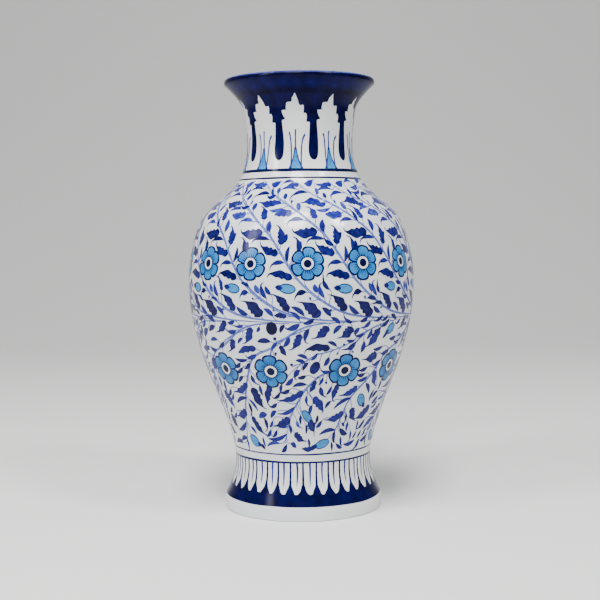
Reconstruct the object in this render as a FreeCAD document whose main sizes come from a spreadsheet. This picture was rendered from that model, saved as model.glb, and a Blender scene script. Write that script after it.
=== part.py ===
import FreeCAD, Part
import math
import os
import re

import Sketcher
from FreeCAD import Vector

# A tall footed vase of glazed earthenware, made the way a large thrown vase is made: the foot,
# the two halves of the belly and the neck are separate sections of clay. Each section has a
# V-shaped notch or ridge at its joints, and a thin layer of slip bonds one to the next.
# The origin is the centre of the ring that the vase stands on, and +Z is up.

SIZES = {
    # Thickness of the clay, and of the slip in the joints.
    "wall": 6.0,
    "neck_wall": 5.0,
    "lip_wall": 5.0,
    "slip_thickness": 0.8,
    "key_depth": 1.6,
    "key_half_width": 1.2,
    # Foot: a plain band on the ground, then a hollow flare that draws in to the waist.
    "foot_height": 39.5,
    "foot_band_height": 9.6,
    "foot_spread": 9.1,
    "foot_edge_round": 1.6,
    # Belly: two sections that meet where the vase is widest.
    "waist_radius": 56.1,
    "belly_radius": 93.5,
    "lower_belly_height": 145.2,
    "upper_belly_height": 91.5,
    "floor_round": 9.0,
    # Neck and mouth.
    "neck_radius": 43.2,
    "neck_base_spread": 5.0,
    "neck_base_slope": 0.42,
    "neck_height": 77.4,
    "lip_radius": 62.0,
    "lip_edge": 3.4,
    "lip_round": 2.3,
    "bore_start": 16.0,
    "bore_length": 22.0,
}

# Shape of the belly. Each row is one control point of a profile, as two shares: how far it
# is along the section's height, and how far along its change of radius.
LOWER_BELLY_CURVE = [(0.142, 0.0), (0.494, 0.63), (0.843, 1.0)]
UPPER_BELLY_CURVE = [(0.185, 0.0), (0.324, 0.066), (0.69, 0.236)]
# The upper belly's last control point stands this share of its height below the neck.
UPPER_BELLY_END = 0.155
# Control points of the neck between its two ends, as shares of its height and its flare.
NECK_CURVE = [(0.157, 0.0), (0.45, 0.0), (0.677, 0.13), (0.795, 0.17)]

BROKEN_STATES = ("Invalid", "Error")

doc = FreeCAD.newDocument("Vase")
sheet = doc.addObject("Spreadsheet::Sheet", "Sizes")
for row, (name, value) in enumerate(SIZES.items(), start=1):
    sheet.set(f"A{row}", name)
    sheet.set(f"B{row}", str(value))
    sheet.setAlias(f"B{row}", name)
doc.recompute()


def number(expression):
    """The present value, in millimetres, of an expression on the sheet."""
    return float(sheet.evalExpression(expression))


def size(text):
    """An expression in which each size's name points at its cell on the sheet."""
    return re.sub("[a-z_]+", lambda word: "Sizes." * (word[0] in SIZES) + word[0], text)


FOOT_RADIUS = size("(waist_radius + foot_spread)")
NECK_BASE_RADIUS = size("(neck_radius + neck_base_spread)")
# A leaning wall is cut level at the neck joint, so it is wider there than it is thick.
LEANING_WALL = size("(wall * sqrt(1 + neck_base_slope ^ 2))")
BORE_RADIUS = size("(neck_radius - neck_wall)")
LOWER_BELLY_LEVEL = size("foot_height + slip_thickness")
UPPER_BELLY_LEVEL = LOWER_BELLY_LEVEL + size(" + lower_belly_height + slip_thickness")
NECK_LEVEL = UPPER_BELLY_LEVEL + size(" + upper_belly_height + slip_thickness")

# The three joints: radius outside, width of the clay there, and the level of the lower rim.
WAIST_JOINT = (size("waist_radius"), size("wall"), size("foot_height"))
BELLY_JOINT = (size("belly_radius"), size("wall"), LOWER_BELLY_LEVEL + size(" + lower_belly_height"))
NECK_JOINT = (NECK_BASE_RADIUS, LEANING_WALL, UPPER_BELLY_LEVEL + size(" + upper_belly_height"))


# Sketch helpers: a profile is drawn in the XZ plane, radius across and level up.

def new_body(name, level):
    """An empty piece of clay or slip, whose lower end stands at a level."""
    body = doc.addObject("PartDesign::Body", name)
    body.Label = name
    body.setExpression(".Placement.Base.z", level)
    return body


def new_sketch(body, name):
    sketch = body.newObject("Sketcher::SketchObject", name)
    plane = next(part for part in body.Origin.OriginFeatures if part.Role == "XZ_Plane")
    sketch.AttachmentSupport = [(plane, "")]
    sketch.MapMode = "FlatFace"
    return sketch


def place(point):
    radius, level = point
    return Vector(number(radius), number(level), 0)


def pin(sketch, geometry, end, point):
    """Hold one point of a sketch at a radius and a level that the sheet gives."""
    for kind, axis, expression in (("DistanceX", -2, point[0]), ("DistanceY", -1, point[1])):
        if expression == "0":
            sketch.addConstraint(Sketcher.Constraint("PointOnObject", geometry, end, axis))
            continue
        held = Sketcher.Constraint(kind, -1, 1, geometry, end, number(expression))
        index = sketch.addConstraint(held)
        sketch.setExpression(f"Constraints[{index}]", expression)


def add_curve(sketch, poles):
    """A cubic B-spline through the end poles and towards the others, each pole pinned."""
    spans = len(poles) - 3
    knots = list(range(spans + 1))
    repeats = [4] + [1] * (spans - 1) + [4]
    curve = Part.BSplineCurve()
    curve.buildFromPolesMultsKnots([place(pole) for pole in poles], repeats, knots, False, 3)
    geometry = sketch.addGeometry(curve, False)
    sketch.exposeInternalGeometry(geometry)
    for index, pole in enumerate(poles):
        pin(sketch, geometry + 1 + index, 3, pole)
    return geometry


def add_lines(sketch, corners, first=None, last=None):
    """Straight edges from corner to corner; first and last are (geometry, end) to join on to."""
    lines = []
    for start, stop in zip(corners, corners[1:]):
        lines.append(sketch.addGeometry(Part.LineSegment(place(start), place(stop)), False))
    for before, after in zip(lines, lines[1:]):
        sketch.addConstraint(Sketcher.Constraint("Coincident", before, 2, after, 1))
    for line, corner in zip(lines[1:], corners[1:-1]):
        pin(sketch, line, 1, corner)
    if first is None:
        pin(sketch, lines[0], 1, corners[0])
        sketch.addConstraint(Sketcher.Constraint("Coincident", lines[-1], 2, lines[0], 1))
    else:
        sketch.addConstraint(Sketcher.Constraint("Coincident", lines[0], 1, *first))
        sketch.addConstraint(Sketcher.Constraint("Coincident", lines[-1], 2, *last))
    return lines


def turn(body, kind, sketch, name):
    """A full turn of a sketch about the vase's axis, adding clay or taking it away."""
    feature = body.newObject(kind, name)
    feature.Profile = sketch
    feature.ReferenceAxis = (sketch, ["V_Axis"])
    feature.Angle = 360
    sketch.Visibility = False
    doc.recompute()
    return feature


def flat_face(shape, level):
    """The name of the level face at a height."""
    for index, face in enumerate(shape.Faces, start=1):
        box = face.BoundBox
        if box.ZLength < 0.01 and abs(box.ZMin - level) < 0.01:
            return f"Face{index}"
    raise ValueError(f"no flat face at {level}")


def ring_edges(shape, radius, level):
    """The names of the round edges at one radius and height."""
    names = []
    for index, edge in enumerate(shape.Edges, start=1):
        box = edge.BoundBox
        round_here = box.ZLength < 0.01 and abs(box.XMax - radius) < 0.05
        if round_here and abs(box.ZMin - level) < 0.05:
            names.append(f"Edge{index}")
    if not names:
        raise ValueError(f"no edge at radius {radius}, level {level}")
    return names


def hollow(body, solid, open_levels):
    """Leave a wall of even thickness inside a solid that is open at these levels."""
    feature = body.newObject("PartDesign::Thickness", "Wall")
    feature.Base = (solid, [flat_face(solid.Shape, number(level)) for level in open_levels])
    feature.Reversed = True
    feature.Join = 1
    feature.setExpression("Value", size("wall"))
    doc.recompute()
    if feature.Shape.Volume >= solid.Shape.Volume:
        raise ValueError(f"{body.Label}: the wall was not hollowed")
    return feature


def soften(body, base, edges, radius):
    feature = body.newObject("PartDesign::Fillet", "Round")
    feature.Base = (base, edges)
    feature.setExpression("Radius", radius)
    doc.recompute()
    return feature


# Joints: the lower section has a V-shaped notch round the middle of its rim, the upper one a
# ridge, and the slip between them is the same profile with a thickness.

def key_profile(joint, level):
    """The V of a joint, from its inner to its outer shoulder, with the rim at a level."""
    radius, width, _ = joint
    middle = f"{radius} - {width} / 2"
    half_width = size("key_half_width")
    tip = (middle, f"{level} - {size('key_depth')}")
    return [(f"{middle} - {half_width}", level), tip, (f"{middle} + {half_width}", level)]


def cut_notch(body, joint, rim_level):
    before = body.Shape.Volume
    sketch = new_sketch(body, "NotchProfile")
    corners = key_profile(joint, rim_level)
    add_lines(sketch, corners + corners[:1])
    turn(body, "PartDesign::Groove", sketch, "Notch")
    if body.Shape.Volume >= before:
        raise ValueError(f"{body.Label}: the notch cut nothing")


def add_ridge(body, joint):
    sketch = new_sketch(body, "RidgeProfile")
    corners = key_profile(joint, "0")
    add_lines(sketch, corners + corners[:1])
    turn(body, "PartDesign::Revolution", sketch, "Ridge")


def slip_joint(name, joint):
    radius, width, level = joint
    body = new_body(name, level)
    sketch = new_sketch(body, "SlipProfile")
    thickness = size("slip_thickness")
    under = [(f"{radius} - {width}", "0")] + key_profile(joint, "0") + [(radius, "0")]
    over = [(f"{radius} - {width}", thickness)] + key_profile(joint, thickness) + [(radius, thickness)]
    add_lines(sketch, under + over[::-1] + under[:1])
    turn(body, "PartDesign::Revolution", sketch, "SlipRing")
    return body


def curve_poles(curve, bottom, top, height):
    """Control points of a profile, from shares of its height and of its change of radius."""
    poles = []
    for rise, change in curve:
        poles.append((f"{bottom} + ({top} - {bottom}) * {change}", f"{height} * {rise}"))
    return poles


def solid_of_revolution(body, poles, height):
    """The outside of a section as a solid: its curve, then level ends and the axis."""
    sketch = new_sketch(body, "OutsideProfile")
    curve = add_curve(sketch, poles)
    corners = [poles[-1], ("0", height), ("0", "0"), poles[0]]
    add_lines(sketch, corners, (curve, 2), (curve, 1))
    return turn(body, "PartDesign::Revolution", sketch, "Outside")


# Foot: a ring of clay under the belly, open below and above.

def make_foot():
    body = new_body("foot", "0")
    sketch = new_sketch(body, "OutsideProfile")
    height, band, waist = size("foot_height"), size("foot_band_height"), size("waist_radius")
    flare = f"({height} - {band})"
    poles = [
        (FOOT_RADIUS, band),
        (f"{waist} + {size('foot_spread')} / 2", f"{band} + {flare} / 3"),
        (waist, f"{height} - {flare} / 3"),
        (waist, height),
    ]
    curve = add_curve(sketch, poles)
    corners = [poles[-1], ("0", height), ("0", "0"), (FOOT_RADIUS, "0"), poles[0]]
    add_lines(sketch, corners, (curve, 2), (curve, 1))
    outside = turn(body, "PartDesign::Revolution", sketch, "Outside")
    wall = hollow(body, outside, ["0", height])
    edges = ring_edges(wall.Shape, number(FOOT_RADIUS), 0)
    edges += ring_edges(wall.Shape, number(f"{FOOT_RADIUS} - {size('wall')}"), 0)
    soften(body, wall, edges, size("foot_edge_round"))
    cut_notch(body, WAIST_JOINT, height)
    return body


# Lower belly: a bowl whose floor is the floor of the vase.

def make_lower_belly():
    body = new_body("lower_belly", LOWER_BELLY_LEVEL)
    waist, belly, height = size("waist_radius"), size("belly_radius"), size("lower_belly_height")
    poles = [(waist, "0")] + curve_poles(LOWER_BELLY_CURVE, waist, belly, height)
    outside = solid_of_revolution(body, poles + [(belly, height)], height)
    wall = hollow(body, outside, [height])
    floor = number(size("wall"))
    corner = max(
        (edge.BoundBox.XMax, f"Edge{index}")
        for index, edge in enumerate(wall.Shape.Edges, start=1)
        if edge.BoundBox.ZLength < 0.01 and abs(edge.BoundBox.ZMin - floor) < 0.05
    )
    soften(body, wall, [corner[1]], size("floor_round"))
    cut_notch(body, BELLY_JOINT, height)
    add_ridge(body, WAIST_JOINT)
    return body


# Upper belly: the shoulder, which closes in from the widest ring to the neck.

def make_upper_belly():
    body = new_body("upper_belly", UPPER_BELLY_LEVEL)
    belly, height, slope = size("belly_radius"), size("upper_belly_height"), size("neck_base_slope")
    poles = [(belly, "0")] + curve_poles(UPPER_BELLY_CURVE, belly, NECK_BASE_RADIUS, height)
    under_neck = f"{height} * {UPPER_BELLY_END}"
    poles.append((f"{NECK_BASE_RADIUS} + {slope} * {under_neck}", f"{height} - {under_neck}"))
    outside = solid_of_revolution(body, poles + [(NECK_BASE_RADIUS, height)], height)
    hollow(body, outside, ["0", height])
    cut_notch(body, NECK_JOINT, height)
    add_ridge(body, BELLY_JOINT)
    return body


# Neck: concave outside, with a straight bore inside that opens to the mouth.

def neck_passage(body):
    """The space inside the neck: narrows to the bore, runs straight, then flares to the lip."""
    sketch = new_sketch(body, "PassageProfile")
    height, start = size("neck_height"), size("bore_start")
    flare = f"{start} + {size('bore_length')}"
    entry = (f"{NECK_BASE_RADIUS} - {LEANING_WALL}", "0")
    mouth = (size("(lip_radius - lip_wall)"), height)
    bore = [(BORE_RADIUS, start), (BORE_RADIUS, flare)]
    straight = sketch.addGeometry(Part.LineSegment(place(bore[0]), place(bore[1])), False)
    pin(sketch, straight, 1, bore[0])
    pin(sketch, straight, 2, bore[1])
    below = tangent_arc(sketch, straight, 1, bore[0], entry)
    above = tangent_arc(sketch, straight, 2, bore[1], mouth)
    add_lines(sketch, [mouth, ("0", height), ("0", "0"), entry], above, below)
    return sketch


def tangent_arc(sketch, straight, end, start, stop):
    """An arc that leaves an upright line smoothly, its centre level with their join."""
    across = number(stop[0]) - number(start[0])
    up = number(stop[1]) - number(start[1])
    radius = (across * across + up * up) / (2 * abs(across))
    side = math.copysign(1, across)
    centre = place(start) + Vector(side * radius, 0, 0)
    join_angle = math.pi if side > 0 else 0.0
    swing = math.atan2(abs(up), radius - abs(across))
    stop_angle = join_angle - side * math.copysign(swing, up)
    circle = Part.Circle(centre, Vector(0, 0, 1), radius)
    turn_angles = sorted((join_angle, stop_angle))
    arc = sketch.addGeometry(Part.ArcOfCircle(circle, *turn_angles), False)
    first = 1 + turn_angles.index(join_angle)
    sketch.addConstraint(Sketcher.Constraint("Coincident", straight, end, arc, first))
    sketch.addConstraint(Sketcher.Constraint("Horizontal", arc, first, arc, 3))
    pin(sketch, arc, 3 - first, stop)
    return arc, 3 - first


def make_neck():
    body = new_body("neck", NECK_LEVEL)
    neck, height, lip = size("neck_radius"), size("neck_height"), size("lip_radius")
    edge = f"({height} - {size('lip_edge')})"
    poles = [(NECK_BASE_RADIUS, "0")] + curve_poles(NECK_CURVE, neck, lip, edge) + [(lip, edge)]
    sketch = new_sketch(body, "OutsideProfile")
    curve = add_curve(sketch, poles)
    corners = [(lip, edge), (lip, height), ("0", height), ("0", "0"), poles[0]]
    add_lines(sketch, corners, (curve, 2), (curve, 1))
    outside = turn(body, "PartDesign::Revolution", sketch, "Outside")
    passage = turn(body, "PartDesign::Groove", neck_passage(body), "Passage")
    if passage.Shape.Volume >= outside.Shape.Volume:
        raise ValueError("neck: the passage cut nothing")
    top = number(height)
    edges = ring_edges(passage.Shape, number(lip), top)
    edges += ring_edges(passage.Shape, number(size("(lip_radius - lip_wall)")), top)
    soften(body, passage, edges, size("lip_round"))
    add_ridge(body, NECK_JOINT)
    return body


make_foot()
slip_joint("foot_slip_joint", WAIST_JOINT)
make_lower_belly()
slip_joint("belly_slip_joint", BELLY_JOINT)
make_upper_belly()
slip_joint("neck_slip_joint", NECK_JOINT)
make_neck()
doc.recompute()

for item in doc.Objects:
    if any(state in BROKEN_STATES for state in item.State):
        raise RuntimeError(f"{item.Label} failed: {item.State}")

os.makedirs("parts", exist_ok=True)
for body in doc.findObjects("PartDesign::Body"):
    if body.Shape.isNull() or not body.Shape.isValid() or len(body.Shape.Solids) != 1:
        raise RuntimeError(f"{body.Label} is not one valid solid")
    body.Shape.exportStep(f"parts/{body.Label}.step")
    box = body.Shape.BoundBox
    print(f"{body.Label}: {body.Shape.Volume / 1000:.1f} cm3, z {box.ZMin:.1f} to {box.ZMax:.1f}")
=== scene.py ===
# %% [markdown]
# # A footed vase, glazed white and painted in cobalt and turquoise
#
# The clay of this vase is already made: seven pieces, from the foot to the neck, come in as a
# fixed frame. What is left is what a kiln and a decorator add: a glassy white glaze, and the
# painting. This lesson lays the glaze on as a real coat with its own thickness, then paints
# every stem, leaf and petal as a brush stroke of its own. A stroke has real edges, so the blue
# stays crisp however near the camera comes, and each one is a small mesh bent to the vase.

# %% Load the frame
import math
import random
from bisect import bisect_left

import bmesh
import bpy
from mathutils import Matrix, Vector


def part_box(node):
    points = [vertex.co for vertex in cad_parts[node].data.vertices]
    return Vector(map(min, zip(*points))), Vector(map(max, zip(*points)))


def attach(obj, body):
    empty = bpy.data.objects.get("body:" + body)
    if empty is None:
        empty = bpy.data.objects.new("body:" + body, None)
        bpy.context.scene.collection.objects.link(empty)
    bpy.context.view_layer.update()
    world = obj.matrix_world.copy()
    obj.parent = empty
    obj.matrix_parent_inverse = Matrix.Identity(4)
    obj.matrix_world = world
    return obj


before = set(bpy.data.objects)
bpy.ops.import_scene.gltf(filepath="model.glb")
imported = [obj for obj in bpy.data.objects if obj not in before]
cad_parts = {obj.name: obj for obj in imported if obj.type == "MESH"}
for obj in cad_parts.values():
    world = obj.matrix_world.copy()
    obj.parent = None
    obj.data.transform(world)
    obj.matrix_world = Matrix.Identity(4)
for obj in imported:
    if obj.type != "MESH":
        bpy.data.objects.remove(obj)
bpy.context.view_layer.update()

MM = 0.001
print("clay pieces:", ", ".join(sorted(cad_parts)))

# %% [markdown]
# ## The outline of the clay
#
# Everything that follows lies on the clay, so the first thing to know is its outline: how far
# the surface is from the axis at each height. Faces that look away from the axis give the
# outside, faces that look towards it the inside. Their vertices lie exactly on the surface,
# and a smooth curve through them fills the gaps between.

# %% Read the outline from the clay
LEAST_GAP = 2.5
STEP = 0.5
SIDEWAYS = 0.3
KEY_REACH = 1.0
KEY_DEEPER = 1.5
FOOT_ROUND = 1.6
KEY_DEPTH = 1.6
FLOOR_THICKNESS = 6.0


def wall_points(nodes, side):
    """Heights and radii, in mm, of the outside (side 1) or the inside (side -1) of the clay."""
    radius_at = {}
    for node in nodes:
        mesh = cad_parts[node].data
        for face in mesh.polygons:
            x, y, _ = face.center
            across = math.hypot(x, y)
            if across < MM or side * (face.normal.x * x + face.normal.y * y) / across < SIDEWAYS:
                continue
            for index in face.vertices:
                point = mesh.vertices[index].co / MM
                level, radius = round(point.z, 3), math.hypot(point.x, point.y)
                known = radius_at.get(level, radius)
                radius_at[level] = max(known, radius) if side > 0 else min(known, radius)
    return sorted(radius_at.items())


def drop_keys(points, side):
    """Leave out the notches and ridges of the joints, which are deeper in the wall."""
    kept = []
    for level, radius in points:
        near = [other for height, other in points if abs(height - level) < KEY_REACH]
        deepest = max(near) - radius if side > 0 else radius - min(near)
        if deepest < KEY_DEEPER and (not kept or level - kept[-1][0] > LEAST_GAP):
            kept.append((level, radius))
    return kept


def smooth(points, place):
    """A cubic curve (Catmull-Rom) through (place, value) points, level beyond its ends."""
    if place <= points[0][0]:
        return points[0][1]
    if place >= points[-1][0]:
        return points[-1][1]
    last = len(points) - 1
    index = next(i for i in range(last) if place <= points[i + 1][0])
    (z0, r0), (z1, r1) = points[max(index - 1, 0)], points[index]
    (z2, r2), (z3, r3) = points[index + 1], points[min(index + 2, last)]
    span = z2 - z1
    share = (place - z1) / span
    slope_1, slope_2 = (r2 - r0) / (z2 - z0) * span, (r3 - r1) / (z3 - z1) * span
    square, cube = share ** 2, share ** 3
    ends = (2 * cube - 3 * square + 1) * r1 + (3 * square - 2 * cube) * r2
    return ends + (cube - 2 * square + share) * slope_1 + (cube - square) * slope_2


class Wall:
    """One side of the clay as a smooth curve: radius and slope at any height."""

    def __init__(self, nodes, side, start=0.0):
        points = [point for point in wall_points(nodes, side) if point[0] >= start]
        self.points = drop_keys(points, side)
        self.low, self.high = self.points[0][0], self.points[-1][0]
        count = int((self.high - self.low) / STEP)
        self.table = [smooth(self.points, self.low + STEP * i) for i in range(count + 1)]

    def radius(self, level):
        place = min(max((level - self.low) / STEP, 0.0), len(self.table) - 1.001)
        index = int(place)
        share = place - index
        return self.table[index] * (1 - share) + self.table[index + 1] * share

    def slope(self, level):
        return (self.radius(level + 1.0) - self.radius(level - 1.0)) / 2.0


outside = Wall(("foot", "lower_belly", "upper_belly", "neck"), 1, FOOT_ROUND - 0.1)
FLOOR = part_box("lower_belly")[0].z / MM + KEY_DEPTH + FLOOR_THICKNESS
inside = Wall(("lower_belly", "upper_belly", "neck"), -1, FLOOR)
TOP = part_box("neck")[1].z / MM
print(f"outside {len(outside.points)} levels to {outside.high:.1f}, inside {len(inside.points)}")

# %% [markdown]
# ## Paint and glaze as materials
#
# Tin-white glaze is glass with a little opaque white in it. It is fired glossy, so it has a
# low roughness and the index of refraction of glass, and it pools and thins by a tenth of a
# millimetre, which a very soft bump shows. Cobalt and copper-turquoise have the same roughness,
# but a lower index of refraction than glass. That is a choice for the look: it keeps a pale
# room from greying the darks. A brush leaves more pigment where it starts and stops: every
# stroke carries a value called `ink` that says how much, and the material turns it into colour,
# from a thin wash to dense cobalt.

# %% Materials
GLASS_IOR = 1.5
PIGMENT_IOR = 1.22
GROUND_IOR = 1.15
GLAZE_ROUGHNESS = 0.16
CLAY_ROUGHNESS = 0.85
POOL_MM = 26.0
DRIFT_MM = 60
SPECK_GAP_MM = 9
GRIT_MM = 1.2
BRUSH_MM = 2.2
FULL_BRUSH_MM = 3.0
WIDE_BRUSH_MM = 8.0
EVEN_LOAD, ROUGH_LOAD = 0.13, 0.2


def linear(hex_colour):
    """An sRGB hex colour as the linear numbers that a shader takes."""
    values = [int(hex_colour[index:index + 2], 16) / 255 for index in (1, 3, 5)]
    return [v / 12.92 if v <= 0.04045 else ((v + 0.055) / 1.055) ** 2.4 for v in values] + [1.0]


def add_node(owner, kind, settings=None, links=None):
    """Add a node to a material or the world, set its inputs or properties, and link it."""
    node = owner.node_tree.nodes.new(kind)
    for name, value in (settings or {}).items():
        if name in node.inputs:
            node.inputs[name].default_value = value
        else:
            setattr(node, name, value)
    for name, source in (links or {}).items():
        owner.node_tree.links.new(source, node.inputs[name])
    return node


def noise(owner, place, size_mm, detail):
    """Soft random grey, in patches about size_mm across."""
    settings = {"Scale": 1 / (size_mm * MM), "Detail": detail}
    return add_node(owner, "ShaderNodeTexNoise", settings, {"Vector": place}).outputs["Fac"]


def remap(owner, value, low, high, new_low, new_high):
    """A value moved from one range to another."""
    settings = {"From Min": low, "From Max": high, "To Min": new_low, "To Max": new_high}
    return add_node(owner, "ShaderNodeMapRange", settings, {"Value": value}).outputs["Result"]


def ramp(owner, value, *stops):
    """A value turned into colour through stops of (place from 0 to 1, hex colour)."""
    node = add_node(owner, "ShaderNodeValToRGB", {}, {"Fac": value})
    elements = node.color_ramp.elements
    for element, (place, colour) in zip(elements, (stops[0], stops[-1])):
        element.position, element.color = place, linear(colour)
    for place, colour in stops[1:-1]:
        elements.new(place).color = linear(colour)
    return node.outputs["Color"]


def bump(owner, height, strength, depth_mm):
    settings = {"Strength": strength, "Distance": depth_mm * MM}
    return add_node(owner, "ShaderNodeBump", settings, {"Height": height}).outputs["Normal"]


def new_material(name):
    material = bpy.data.materials.new(name)
    material.use_nodes = True
    material.node_tree.nodes.clear()
    return material


def own_place(material):
    return add_node(material, "ShaderNodeTexCoord").outputs["Object"]


def pooled_glaze(material, place):
    """The slow swell of a poured glaze, the same for white and paint so that both run on."""
    return bump(material, noise(material, place, POOL_MM, 1.0), 0.12, 0.6)


def finish_glossy(material, colour, normal, roughness=GLAZE_ROUGHNESS, ior=GLASS_IOR):
    shader = add_node(material, "ShaderNodeBsdfPrincipled",
                      {"Roughness": roughness, "IOR": ior},
                      {"Base Color": colour, "Normal": normal})
    add_node(material, "ShaderNodeOutputMaterial", {}, {"Surface": shader.outputs["BSDF"]})
    return material


def tin_white_glaze(name, cool, warm):
    """Opaque white glaze: a slow drift between a cool and a warm white, with iron specks."""
    material = new_material(name)
    place = own_place(material)
    tint = ramp(material, noise(material, place, DRIFT_MM, 3.0), (0.35, cool), (0.68, warm))
    grains = add_node(material, "ShaderNodeTexVoronoi", {"Scale": 1 / (SPECK_GAP_MM * MM)},
                      {"Vector": place})
    speck = remap(material, grains.outputs["Distance"], 0.025, 0.06, 0.35, 0.0)
    iron = add_node(material, "ShaderNodeMix", {"data_type": "RGBA"}, {"Factor": speck})
    # A mix node has inputs of the same name for each kind of value: 6 and 7 are its colours.
    material.node_tree.links.new(tint, iron.inputs[6])
    iron.inputs[7].default_value = linear("#8A7F70")
    return finish_glossy(material, iron.outputs[2], pooled_glaze(material, place))


def brushed_pigment(name, thin, middle, dense, grain=BRUSH_MM, uneven=EVEN_LOAD, ior=PIGMENT_IOR):
    """Pigment under glaze: the stroke's ink, mottled by the brush, picks the depth of colour."""
    material = new_material(name)
    place = own_place(material)
    ink = add_node(material, "ShaderNodeAttribute", {"attribute_name": "ink"})
    mottle = remap(material, noise(material, place, grain, 4.0), 0.3, 0.7, -uneven, uneven)
    load = add_node(material, "ShaderNodeMath", {"operation": "ADD", "use_clamp": True})
    material.node_tree.links.new(ink.outputs["Fac"], load.inputs[0])
    material.node_tree.links.new(mottle, load.inputs[1])
    colour = ramp(material, load.outputs["Value"], (0.0, thin), (0.5, middle), (1.0, dense))
    return finish_glossy(material, colour, pooled_glaze(material, place), ior=ior)


def biscuit_clay(name, dark, pale):
    """Fired earthenware with no glaze: warm, matt and a little gritty."""
    material = new_material(name)
    grit = noise(material, own_place(material), GRIT_MM, 6.0)
    tone = ramp(material, grit, (0.0, dark), (1.0, pale))
    return finish_glossy(material, tone, bump(material, grit, 0.35, 0.2), CLAY_ROUGHNESS)


white_glaze = tin_white_glaze("tin_white_glaze", "#CFD3DB", "#DAD9D5")
cobalt = brushed_pigment("cobalt_underglaze", "#5068B0", "#20257A", "#08083E",
                         FULL_BRUSH_MM, ROUGH_LOAD)
cobalt_ground = brushed_pigment("cobalt_ground_underglaze", "#182470", "#0A0A48", "#040424",
                                WIDE_BRUSH_MM, ROUGH_LOAD, GROUND_IOR)
cobalt_wash = brushed_pigment("cobalt_wash_underglaze", "#8C98C4", "#5062A6", "#26388C")
cobalt_line = brushed_pigment("cobalt_line_underglaze", "#3E5298", "#0E1A5C", "#04072E")
turquoise = brushed_pigment("copper_turquoise_underglaze", "#5A9CC6", "#2C74B0", "#184C92")
clay = biscuit_clay("biscuit_earthenware", "#D2C7B6", "#E6DED2")
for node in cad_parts.values():
    for holder in node.material_slots:
        holder.material = clay
print("materials:", ", ".join(material.name for material in bpy.data.materials))

# %% [markdown]
# ## The coat of glaze
#
# A glaze is a thin layer with a front and a back, so it is built as one: a closed line that
# runs up the outside of the clay, over the lip and a little way down the mouth, and comes back
# just under the surface. Spinning that line once round the axis makes the whole coat. A second
# coat, made the same way, lines the inside down to the floor. The glaze stops short of the
# ground, because a pot that is glazed underneath sticks to the kiln shelf.

# %% Glaze
GLAZE = 0.4
BACK = -0.15
SPIN_STEPS = 192
MOUTH_DEPTH = 16.0
LIP_HEIGHT = 4.0
FOOT_TURNS = (42, 52, 62, 72, 82)
CORNER, CORNER_REACH = 3.5, 5.0
SHARP_DEGREES = 35


def up_the_wall(wall, low, high, spacing):
    """Points (radius, height) on one side of the clay, at even steps."""
    count = max(2, round((high - low) / spacing))
    levels = [low + (high - low) * index / count for index in range(count + 1)]
    return [(wall.radius(level), level) for level in levels]


def over_the_lip():
    """The clay's own outline at the lip, from the outside, over the top, to the inside."""
    low = TOP - LIP_HEIGHT
    found = {(round(math.hypot(vertex.co.x, vertex.co.y) / MM, 2), round(vertex.co.z / MM, 2))
             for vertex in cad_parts["neck"].data.vertices if vertex.co.z / MM > low + 0.1}
    middle = (outside.radius(low) + inside.radius(low)) / 2
    points = [(outside.radius(low), low)]
    for point in sorted(found, key=lambda at: math.atan2(at[1] - low, at[0] - middle)):
        if math.dist(point, points[-1]) > 0.4:
            points.append(point)
    return points + [(inside.radius(low), low)]


def round_the_foot():
    """The rounded edge of the foot, from where a coat of glaze just clears the ground."""
    edge = outside.radius(FOOT_ROUND)
    return [(edge - FOOT_ROUND * (1 - math.sin(turn)), FOOT_ROUND * (1 - math.cos(turn)))
            for turn in (math.radians(degrees) for degrees in FOOT_TURNS)]


def offset(path, distance):
    """The same line moved out of the clay by a distance, to the right of its direction."""
    shifted = []
    for index, (radius, level) in enumerate(path):
        before, after = path[max(index - 1, 0)], path[min(index + 1, len(path) - 1)]
        along = Vector((after[0] - before[0], after[1] - before[1])).normalized()
        shifted.append((max(radius + along.y * distance, 0.0), level - along.x * distance))
    return shifted


def put_in_scene(name, data):
    thing = bpy.data.objects.new(name, data)
    bpy.context.scene.collection.objects.link(thing)
    return thing


def smooth_mesh(name, shape, material):
    """A bmesh turned into a mesh of one material, facing outwards and shaded smooth."""
    bmesh.ops.recalc_face_normals(shape, faces=shape.faces)
    mesh = bpy.data.meshes.new(name)
    shape.to_mesh(mesh)
    shape.free()
    mesh.materials.append(material)
    mesh.polygons.foreach_set("use_smooth", [True] * len(mesh.polygons))
    return mesh


def new_piece(name, shape, material):
    """An object that rides on the vase."""
    mesh = smooth_mesh(name, shape, material)
    mesh.set_sharp_from_angle(angle=math.radians(SHARP_DEGREES))
    piece = put_in_scene(name, mesh)
    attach(piece, "root")
    print(f"{name}: {len(mesh.polygons)} faces")
    return piece


def spin(section, unit=MM):
    """A closed line of (radius, height) corners, spun once round the axis."""
    shape = bmesh.new()
    corners = [shape.verts.new((radius * unit, 0, level * unit)) for radius, level in section]
    edges = [shape.edges.new(pair) for pair in zip(corners, corners[1:] + corners[:1])]
    bmesh.ops.spin(shape, geom=corners + edges, cent=(0, 0, 0), axis=(0, 0, 1), dvec=(0, 0, 0),
                   angle=math.tau, steps=SPIN_STEPS, use_merge=True)
    return shape


def spin_coat(name, path, material, front=GLAZE):
    """Spin a coat of even thickness that follows a line on the clay."""
    shape = spin(offset(path, front) + offset(path, BACK)[::-1])
    bmesh.ops.remove_doubles(shape, verts=shape.verts, dist=1e-6)
    bmesh.ops.dissolve_degenerate(shape, edges=shape.edges, dist=1e-7)
    new_piece(name, shape, material)


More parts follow.
